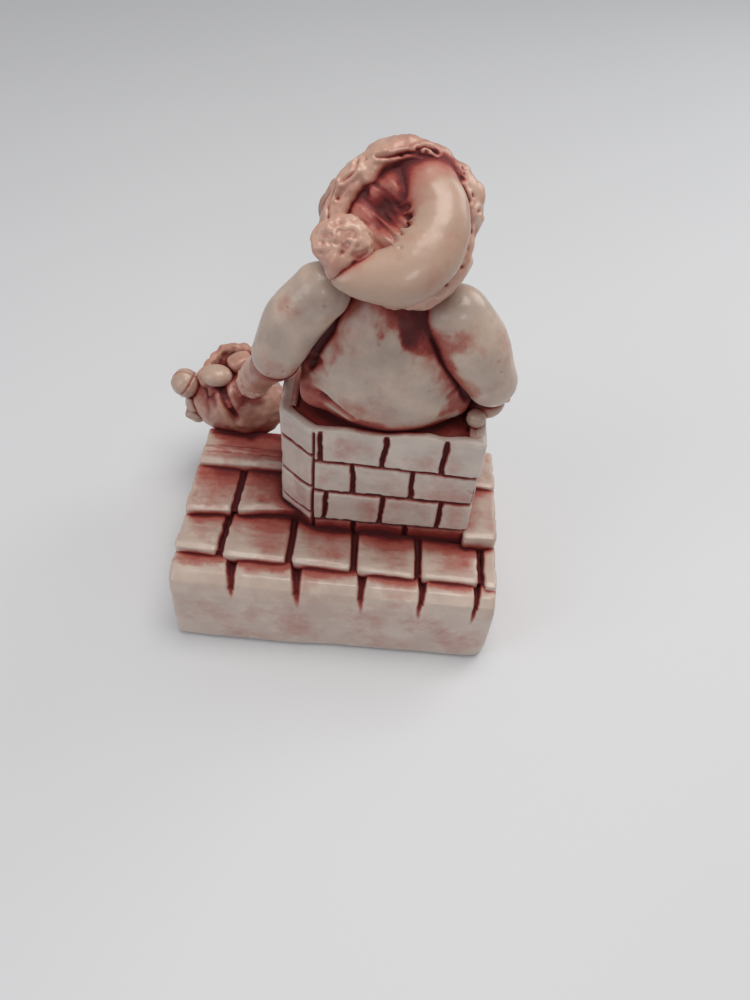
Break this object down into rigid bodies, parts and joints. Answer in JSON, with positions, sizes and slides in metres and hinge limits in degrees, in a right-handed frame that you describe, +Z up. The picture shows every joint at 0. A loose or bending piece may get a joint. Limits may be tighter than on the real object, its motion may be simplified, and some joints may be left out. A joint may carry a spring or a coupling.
{
  "type": "resin tank ornament figurine",
  "caption": "Free-standing cast resin figurine: a stout figure in a stocking cap stands in a brick chimney on a tiled roof block, with an open sack of toys beside the chimney.",
  "frame": {"origin": "middle of the flat underside, at the level that it rests on", "axes": "+Z up; the figure and the unseen front slope of the roof face -Y; the eaves of the broad back slope are at +Y; the sack and the figure's left hand are at +X"},
  "size_m": [0.079, 0.062, 0.104],
  "materials": {
    "ivory_resin": "satin cast resin with a red-brown antiquing wash in the hollows",
    "pale_resin": "satin cast resin, rubbed back to cream on the high parts",
    "stained_resin": "satin cast resin left dark with red-brown wash"
  },
  "bodies": {
    "root": {"roof_block": "ivory_resin", "tiles_eaves": "ivory_resin", "tiles_second_row": "ivory_resin", "tiles_third_row_left": "ivory_resin", "tiles_third_row_right": "ivory_resin", "tiles_fourth_row_right": "ivory_resin", "ridge_board_lower": "ivory_resin", "ridge_board_upper": "ivory_resin", "ridge_strip": "ivory_resin", "tiles_front_top": "ivory_resin", "tiles_front_middle": "ivory_resin", "tiles_front_bottom": "ivory_resin", "chimney_stack": "ivory_resin", "coat_body": "ivory_resin", "left_sleeve": "pale_resin", "right_sleeve": "pale_resin", "head": "ivory_resin", "cap_crown": "ivory_resin", "cap_brim": "ivory_resin", "cap_tail": "pale_resin", "pom_pom": "ivory_resin", "beard": "pale_resin", "moustache": "pale_resin", "nose": "ivory_resin", "hair_left": "stained_resin", "hair_right": "stained_resin", "sack_body": "stained_resin", "sack_mouth": "stained_resin", "toy_egg": "pale_resin", "toy_ball": "pale_resin", "toy_bear": "ivory_resin", "toy_block": "ivory_resin", "left_mitten": "ivory_resin", "left_cuff": "pale_resin", "left_forearm": "stained_resin", "right_mitten": "ivory_resin", "right_thumb": "pale_resin", "right_cuff": "pale_resin", "right_forearm": "ivory_resin"}
  },
  "joints": []
}
